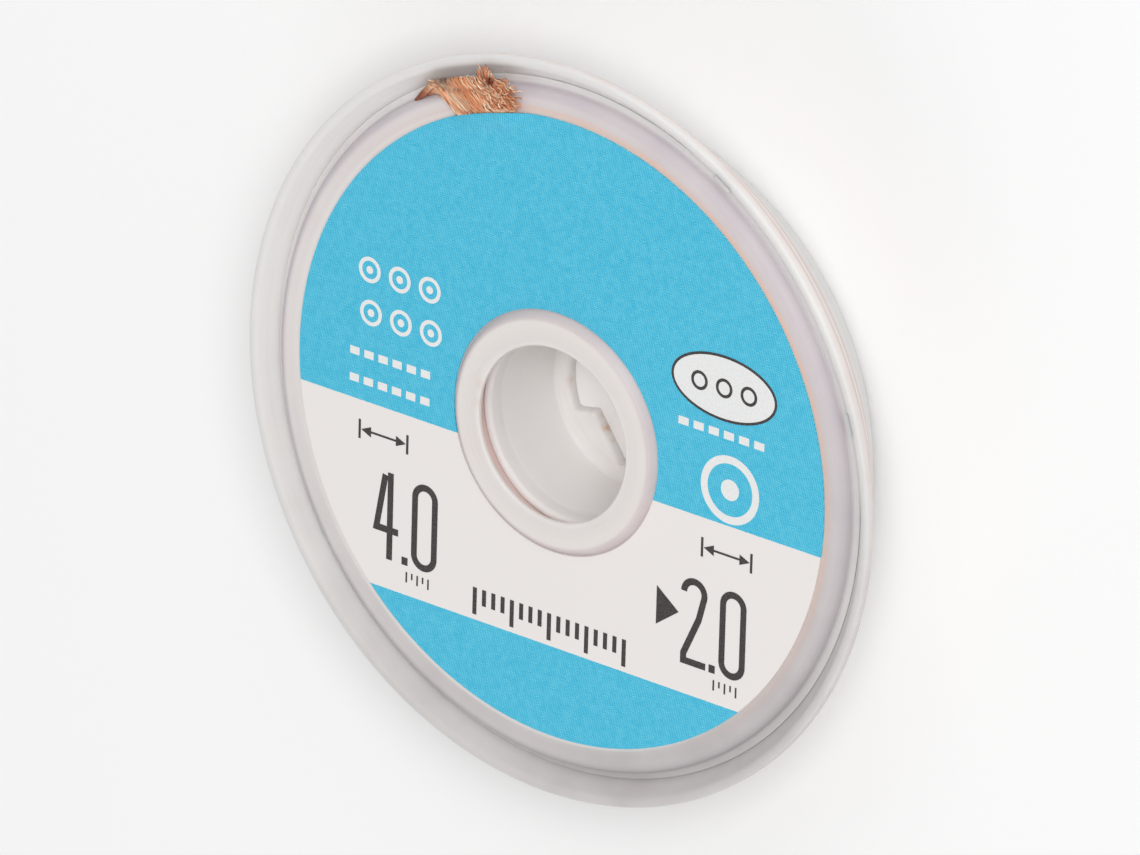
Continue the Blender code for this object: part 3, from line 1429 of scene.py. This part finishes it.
    def loose_wire(self, bundle: WireBundle, tuft: Tuft, chance: random.Random) -> None:
        """Lay one short wire that sticks out of the frayed end.

        Args:
            bundle: The bundle that it joins.
            tuft: Where it starts and heads.
            chance: The source of chance.
        """
        angle = math.radians(tuft.angle)
        out = Vector((math.cos(angle), math.sin(angle), 0.0))
        along = Vector((math.sin(angle), -math.cos(angle), 0.0))
        up = Vector((0.0, 0.0, 1.0))
        turn = chance.uniform(0.0, FULL_TURN)
        away = out * math.sin(turn) + along * math.cos(turn)
        start = out * tuft.radius + up * tuft.height + away * tuft.spread * chance.uniform(0.3, 1.0)
        outwards, onwards, upwards = tuft.heading
        heading = out * outwards + along * onwards + up * upwards + away * tuft.jitter
        heading += Vector([chance.uniform(-1.0, 1.0) for _ in range(3)]) * tuft.jitter * 0.6
        heading.normalize()
        length = chance.uniform(*tuft.lengths)
        drift = Vector([chance.uniform(0.0, 50.0) for _ in range(3)])
        points = []
        steps = self.loose_steps
        for step in range(steps + 1):
            run = length * step / steps
            bend = noise.noise_vector(start * 0.7 + drift + heading * run * 1.4) * 0.4 * run
            points.append(self.press(start + heading * run + bend))
        # Paleness, partly a painted highlight.
        shade = chance.random() * 0.9 + 0.1
        tone = 0.75 * chance.random() ** 3
        # Painted shade at the root and by the hollow, plus the wire's darker tone.
        shade_and_tone_depths = [
            min(1.0, tone + 0.4 * (1.0 - step / steps) ** 2 + 0.9 * self.shadow(point))
            for step, point in enumerate(points)
        ]
        bundle.add(points, shade, shade_and_tone_depths, [0.0] * len(points))


@dataclass
class LabelPrint(Piece):
    """Printed marks on the label, as thin layers of ink of one colour."""

    slot: Slot = Slot.LABEL
    stands_for: tuple[str, ...] = ()
    paper_face: float = 9.815
    sink: float = 0.004
    thickness: float = 0.012
    stagger: float = 0.0008
    levels: int = 7
    disc_steps: int = 64
    arc_step: float = 7.0
    figure_high: float = 6.8
    figure_wide: float = 2.35
    figure_line: float = 0.52
    figure_aside: float = 1.75
    point_drop: float = 3.1
    point_wide: float = 0.55
    point_high: float = 0.6
    short_tick: float = 0.6
    tick_line: float = 0.17

    def __post_init__(self) -> None:
        """Start with no marks."""
        self.body = bmesh.new()

    def layer(self, outline: list[Spot]) -> None:
        """Print one filled shape.

        Args:
            outline: Its corners in millimetres, counted from the label's middle.
        """
        base = self.paper_face - self.sink
        verts = [self.body.verts.new((x * MM, y * MM, base * MM)) for x, y in outline]
        face = self.body.faces.new(verts)
        face.normal_update()
        if face.normal.z < 0.0:
            face.normal_flip()
        pushed = bmesh.ops.extrude_face_region(self.body, geom=[face])["geom"]
        moved = [item for item in pushed if isinstance(item, bmesh.types.BMVert)]
        rise = self.sink + self.thickness + self.stagger * (len(self.body.faces) % self.levels)
        bmesh.ops.translate(self.body, vec=(0.0, 0.0, rise * MM), verts=moved)

    def bar(self, x: float, y: float, width: float, height: float) -> None:
        """Print a bar.

        Args:
            x: Its middle across.
            y: Its middle up.
            width: Its width.
            height: Its height.
        """
        left, right = x - 0.5 * width, x + 0.5 * width
        low, high = y - 0.5 * height, y + 0.5 * height
        self.layer([(left, low), (right, low), (right, high), (left, high)])

    def disc(self, x: float, y: float, half_width: float, half_height: float) -> None:
        """Print a disc or an oval.

        Args:
            x: Its middle across.
            y: Its middle up.
            half_width: Half its width.
            half_height: Half its height.
        """
        steps = self.disc_steps
        angles = [FULL_TURN * step / steps for step in range(steps)]
        self.layer([(x + half_width * math.cos(a), y + half_height * math.sin(a)) for a in angles])

    def stroke(self, path: list[Spot], width: float, closed: bool = False) -> None:
        """Print a line of even width.

        Args:
            path: Its points in order.
            width: Its width.
            closed: Whether its end joins its start.
        """
        points = [Vector(point) for point in path]
        count = len(points)
        left = []
        right = []
        for index, point in enumerate(points):
            before = points[index - 1] if closed or index > 0 else point
            after = points[(index + 1) % count] if closed or index < count - 1 else point
            ways = [step.normalized() for step in (point - before, after - point) if step.length > 0.0]
            sides = [Vector((-way.y, way.x)) for way in ways]
            side = sum(sides, Vector((0.0, 0.0))).normalized()
            reach = 0.5 * width / max(0.35, side.dot(sides[0]))
            left.append(tuple(point + side * reach))
            right.append(tuple(point - side * reach))
        for index in range(count if closed else count - 1):
            after = (index + 1) % count
            self.layer([left[index], left[after], right[after], right[index]])

    def arc(
        self, x: float, y: float, reach_x: float, reach_y: float, first: float, last: float
    ) -> list[Spot]:
        """Points on part of an oval.

        Args:
            x: Its middle across.
            y: Its middle up.
            reach_x: Its reach across.
            reach_y: Its reach up.
            first: Where the part starts, in degrees.
            last: Where it ends, in degrees.

        Returns:
            The points.
        """
        steps = max(6, int(abs(last - first) / self.arc_step))
        turns = [math.radians(first + (last - first) * step / steps) for step in range(steps + 1)]
        return [(x + reach_x * math.cos(turn), y + reach_y * math.sin(turn)) for turn in turns]

    def figure(self, digit: str, x: float, y: float) -> None:
        """Print one tall, narrow figure: 0, 2 or 4.

        Args:
            digit: The figure.
            x: Its middle across.
            y: Its middle up.
        """
        width = self.figure_line
        half_wide = 0.5 * (self.figure_wide - width)
        half_high = 0.5 * (self.figure_high - width)
        if digit == "0":
            path = self.arc(x, y + half_high - half_wide, half_wide, half_wide, 0.0, 180.0)
            path += self.arc(x, y - half_high + half_wide, half_wide, half_wide, 180.0, 360.0)
            self.stroke(path, width, closed=True)
        elif digit == "2":
            path = self.arc(x, y + half_high - half_wide, half_wide, half_wide, 180.0, -20.0)
            path.append((x + 0.5 * half_wide, y + 0.1 * half_high))
            path.append((x - 0.9 * half_wide, y - 0.82 * half_high))
            path.append((x - 0.9 * half_wide, y - half_high))
            path.append((x + half_wide + 0.5 * width, y - half_high))
            self.stroke(path, width)
        else:
            stem = x + 0.35 * half_wide
            arm = y - 0.35 * half_high
            self.bar(stem, y, width, self.figure_high)
            path = [(stem - 0.95 * width, y + half_high), (x - half_wide, arm)]
            self.stroke([*path, (stem - 0.5 * width, arm)], width)
            self.bar(stem + width, arm, width, width)

    def number(self, whole: str, part: str, x: float, y: float) -> None:
        """Print a tall number with one decimal.

        Args:
            whole: The figure before the point.
            part: The figure after it.
            x: The number's middle across.
            y: Its middle up.
        """
        self.figure(whole, x - self.figure_aside, y)
        self.bar(x, y - self.point_drop, self.point_wide, self.point_high)
        self.figure(part, x + self.figure_aside, y)

    def ticks(self, x: float, y: float, wide: float, high: float, count: int, long_every: int) -> None:
        """Print a row of scale ticks that hang from one line.

        Args:
            x: Its middle across.
            y: The height of the ticks' upper ends.
            wide: Its width.
            high: The long ticks' height.
            count: How many ticks it has.
            long_every: Every so many ticks one is long.
        """
        for tick in range(count):
            tall = high if tick % long_every == 0 else self.short_tick * high
            place = x + wide * (tick / (count - 1) - 0.5)
            self.bar(place, y - 0.5 * tall, self.tick_line * high, tall)

    def shape(self) -> bmesh.types.BMesh:
        """Shape of all that was printed.

        Returns:
            The layers of ink.
        """
        bmesh.ops.recalc_face_normals(self.body, faces=self.body.faces)
        return self.body


def print_dark_marks() -> LabelPrint:
    """Dark marks: plain numbers, size arrows and a scale on the white band.

    Returns:
        The printed layer.
    """
    number_y = -10.9
    small_scale_y = -14.8
    arrow_y = -4.85
    ink = LabelPrint("label_print_dark", thickness=0.02)
    for x, whole in ((-13.4, "4"), (14.6, "2")):
        ink.number(whole, "0", x, number_y)
        ink.ticks(x + 1.2, small_scale_y, 2.0, 0.8, 5, 2)
    for x in (-15.6, 15.6):
        ink.bar(x, arrow_y, 3.4, 0.16)
        for side in (-1.0, 1.0):
            ink.bar(x + side * 2.2, arrow_y, 0.2, 1.5)
            tip = x + side * 2.05
            back = tip - side * 0.9
            ink.layer([(tip, arrow_y), (back, arrow_y + 0.4), (back, arrow_y - 0.4)])
    ink.layer([(9.5, -9.0), (11.5, -10.5), (9.5, -12.0)])
    ink.ticks(-0.1, -14.1, 13.6, 2.1, 17, 4)
    x, y = OVAL_PLACE
    ink.stroke(ink.arc(x, y, 4.6, 2.4, 0.0, 353.0), 0.2, closed=True)
    for column in (-1.0, 0.0, 1.0):
        ink.stroke(ink.arc(x + 2.2 * column, y, 0.62, 0.62, 0.0, 350.0), 0.24, closed=True)
    return ink


def print_white_marks() -> LabelPrint:
    """White marks on the blue print: dots, dashes and a plain ring.

    Returns:
        The printed layer.
    """
    ring_x = 15.7
    ring_y = 0.2
    ink = LabelPrint("label_print_white")
    for row, y in enumerate((7.7, 4.4)):
        for column in range(3):
            x = -17.2 + 2.75 * column + 0.2 * row
            ink.stroke(ink.arc(x, y, 0.85, 0.85, 0.0, 350.0), 0.3, closed=True)
            ink.disc(x, y, 0.3, 0.3)
    dash_rows = ((-18.4, 1.1, 1.3, 0.85), (-18.4, -1.0, 1.3, 0.85), (11.4, 4.3, 1.35, 0.9))
    for x, y, pitch, width in dash_rows:
        for dash in range(6):
            ink.bar(x + pitch * dash, y, width, 0.6)
    ink.disc(*OVAL_PLACE, 4.5, 2.3)
    ink.stroke(ink.arc(ring_x, ring_y, 2.3, 2.3, 0.0, 352.0), 0.6, closed=True)
    ink.disc(ring_x, ring_y, 0.8, 0.8)
    return ink


@dataclass(frozen=True)
class Lamp:
    """Soft square light: its place and side in metres, and its power in watts."""

    name: str
    spot: tuple[float, float, float]
    size: float
    power: float

    def add(self) -> None:
        """Hang the light so that it faces the bobbin."""
        data = bpy.data.lights.new(self.name, "AREA")
        data.shape = "SQUARE"
        data.size = self.size
        data.energy = self.power
        light = bpy.data.objects.new(self.name, data)
        light.location = self.spot
        light.rotation_euler = Vector(self.spot).to_track_quat("Z", "Y").to_euler()
        bpy.context.scene.collection.objects.link(light)


@dataclass
class Studio:
    """Pale floor, soft light and the camera of the photograph."""

    floor_size: float = 3.0
    camera_distance: float = 1.066
    aside: float = 0.00096
    above: float = 0.00036
    label_height: float = 0.0097
    lens: float = 473.7
    lamp_distance: float = 1.25
    daylight: float = 0.5
    up: tuple[float, float, float] = (-0.2682, 0.9151, -0.2999)
    towards: tuple[float, float, float] = (0.5604, 0.4013, 0.7243)

    def build_camera(self) -> None:
        """Set the camera where the photograph was taken from, with plain colours."""
        bpy.context.scene.view_settings.view_transform = "Standard"
        towards = Vector(self.towards).normalized()
        right = Vector(self.up).cross(towards).normalized()
        up = towards.cross(right)
        middle = Vector((0.0, 0.0, self.label_height))
        spot = middle + towards * self.camera_distance + right * self.aside + up * self.above
        data = bpy.data.cameras.new("camera")
        data.lens = self.lens
        data.sensor_width = 36.0
        data.clip_start = 0.01
        data.clip_end = 20.0
        camera = bpy.data.objects.new("camera", data)
        camera.matrix_world = Matrix.Translation(spot) @ Matrix((right, up, towards)).transposed().to_4x4()
        bpy.context.scene.collection.objects.link(camera)
        bpy.context.scene.camera = camera

    def build_floor(self) -> None:
        """Lay the pale floor under the bobbin."""
        body = bmesh.new()
        bmesh.ops.create_grid(body, x_segments=1, y_segments=1, size=0.5 * self.floor_size)
        mesh = bpy.data.meshes.new("floor")
        body.to_mesh(mesh)
        body.free()
        graph = Graph("pale_floor")
        cloud = graph.noise(graph.place(), 0.002, 1.0)
        shade = graph.blend(cloud, (0.94, 0.94, 0.94, 1.0), (0.97, 0.97, 0.97, 1.0))
        mesh.materials.append(graph.dress(Base_Color=shade, Roughness=0.8))
        floor = bpy.data.objects.new("floor", mesh)
        bpy.context.scene.collection.objects.link(floor)

    def build_lights(self) -> None:
        """Light the bobbin softly from the camera's side, from above the label and from below it."""
        world = bpy.data.worlds.new("studio_world")
        world.use_nodes = True
        backdrop = world.node_tree.nodes["Background"]
        backdrop.inputs["Color"].default_value = (1.0, 1.0, 1.0, 1.0)
        backdrop.inputs["Strength"].default_value = self.daylight
        bpy.context.scene.world = world
        Lamp("front", tuple(Vector(self.towards) * self.lamp_distance), 0.5, 7.9).add()
        Lamp("key", (0.2, 0.9, 0.6), 0.8, 1.6).add()
        Lamp("fill", (-0.1, -0.95, 0.35), 0.8, 2.6).add()

    def build(self) -> None:
        """Build the camera, the floor and the lights."""
        self.build_camera()
        self.build_floor()
        self.build_lights()


def dish_finish() -> FrostedPlastic:
    """Finish of the dish.

    Returns:
        Plastic that the roll tints through the cone, with smears of flux by the key, painted light in the
        hub and in the gap, and painted shade towards the lower side.
    """
    through_cone = Tint(linear(222, 184, 170), 6.6, 8.7, 27.7, 28.4, 0.5, 1.5, 0.2, slope=0.7646)
    # Painted light: near-white over the shaded bore, sleeve and hole of the hub.
    painted_hub_light = Tint(linear(255, 250, 247), -0.1, 9.0, 0.0, 7.5, 1.0, 0.1, 0.3)
    return FrostedPlastic(
        name="dish_plastic",
        body=linear(230, 228, 226),
        rosy=ROSY,
        smear=FLUX,
        tints=(through_cone, painted_hub_light, PAINTED_GAP_LIGHT, PAINTED_LOWER_SHADE),
        stains=(
            Stain((-3.45, -2.9, 0.35), 0.5, 0.7),
            Stain((-2.7, -3.5, 0.3), 0.6, 0.8),
            Stain((-1.9, -4.1, 0.35), 0.45, 0.7),
            Stain((-5.7, -0.6, 0.7), 0.6, 0.4),
            Stain((-1.0, -5.4, 0.9), 0.5, 0.3),
        ),
        scatter=0.5,
        scatter_reach=1.8,
    )


def cover_finish() -> FrostedPlastic:
    """Finish of the cover.

    Returns:
        Plastic that the roll tints round the label and under the ring, with painted light in the gap and
        under the ring, and painted shade on the rounded edge, at the ring's foot and towards the lower
        side.
    """
    # Copper tint and painted shade on the cover's rounded edge.
    edge_copper_and_shade = Tint(linear(208, 200, 206), 8.0, 9.6, 25.1, 25.72, 0.85, 0.15, 0.25)
    margin = Tint(linear(212, 202, 206), 9.2, 9.9, 24.3, 25.2, 0.7, 0.15, 0.3, lean=0.9)
    over_roll = Tint(linear(240, 204, 188), 9.5, 9.9, 23.5, 24.35, 0.9, 0.2, 0.3, lean=1.6)
    # Copper tint under the ring, made lighter as painted light against the shade there.
    ring_copper_and_light = Tint(linear(244, 216, 210), 7.8, 9.9, 6.9, 8.2, 1.0, 0.2, 0.1)
    # Copper tint and painted shade at the ring's foot.
    ring_foot = Tint(linear(216, 203, 203), 9.6, 10.25, 8.6, 9.3, 0.9, 0.1, 0.2)
    return FrostedPlastic(
        name="cover_plastic",
        body=linear(238, 232, 229),
        rosy=ROSY,
        smear=FLUX,
        tints=(PAINTED_GAP_LIGHT, edge_copper_and_shade, margin, over_roll, ring_copper_and_light, ring_foot, PAINTED_LOWER_SHADE),
        stains=(Stain((-6.6, 2.1, 10.3), 0.6, 0.18), Stain((-6.75, 0.5, 10.3), 0.5, 0.14)),
    )


def main() -> None:
    """Build and dress every piece, in order."""
    logging.basicConfig(level=logging.INFO, format="%(name)s: %(message)s")
    Studio().build()
    BobbinDish().build(dish_finish().material())
    BobbinCover().build(cover_finish().material())
    PaperLabel().build(PrintedPaper().material())
    BraidRoll().build(WoundCopper().material())
    BraidEnd().build(BareWire().material())
    dark_ink = PrintInk("dark_ink", linear(52, 47, 47), linear(96, 90, 88))
    white_ink = PrintInk("white_ink", linear(238, 236, 234), linear(206, 222, 228))
    print_dark_marks().build(dark_ink.material())
    print_white_marks().build(white_ink.material())


if __name__ == "__main__":
    main()
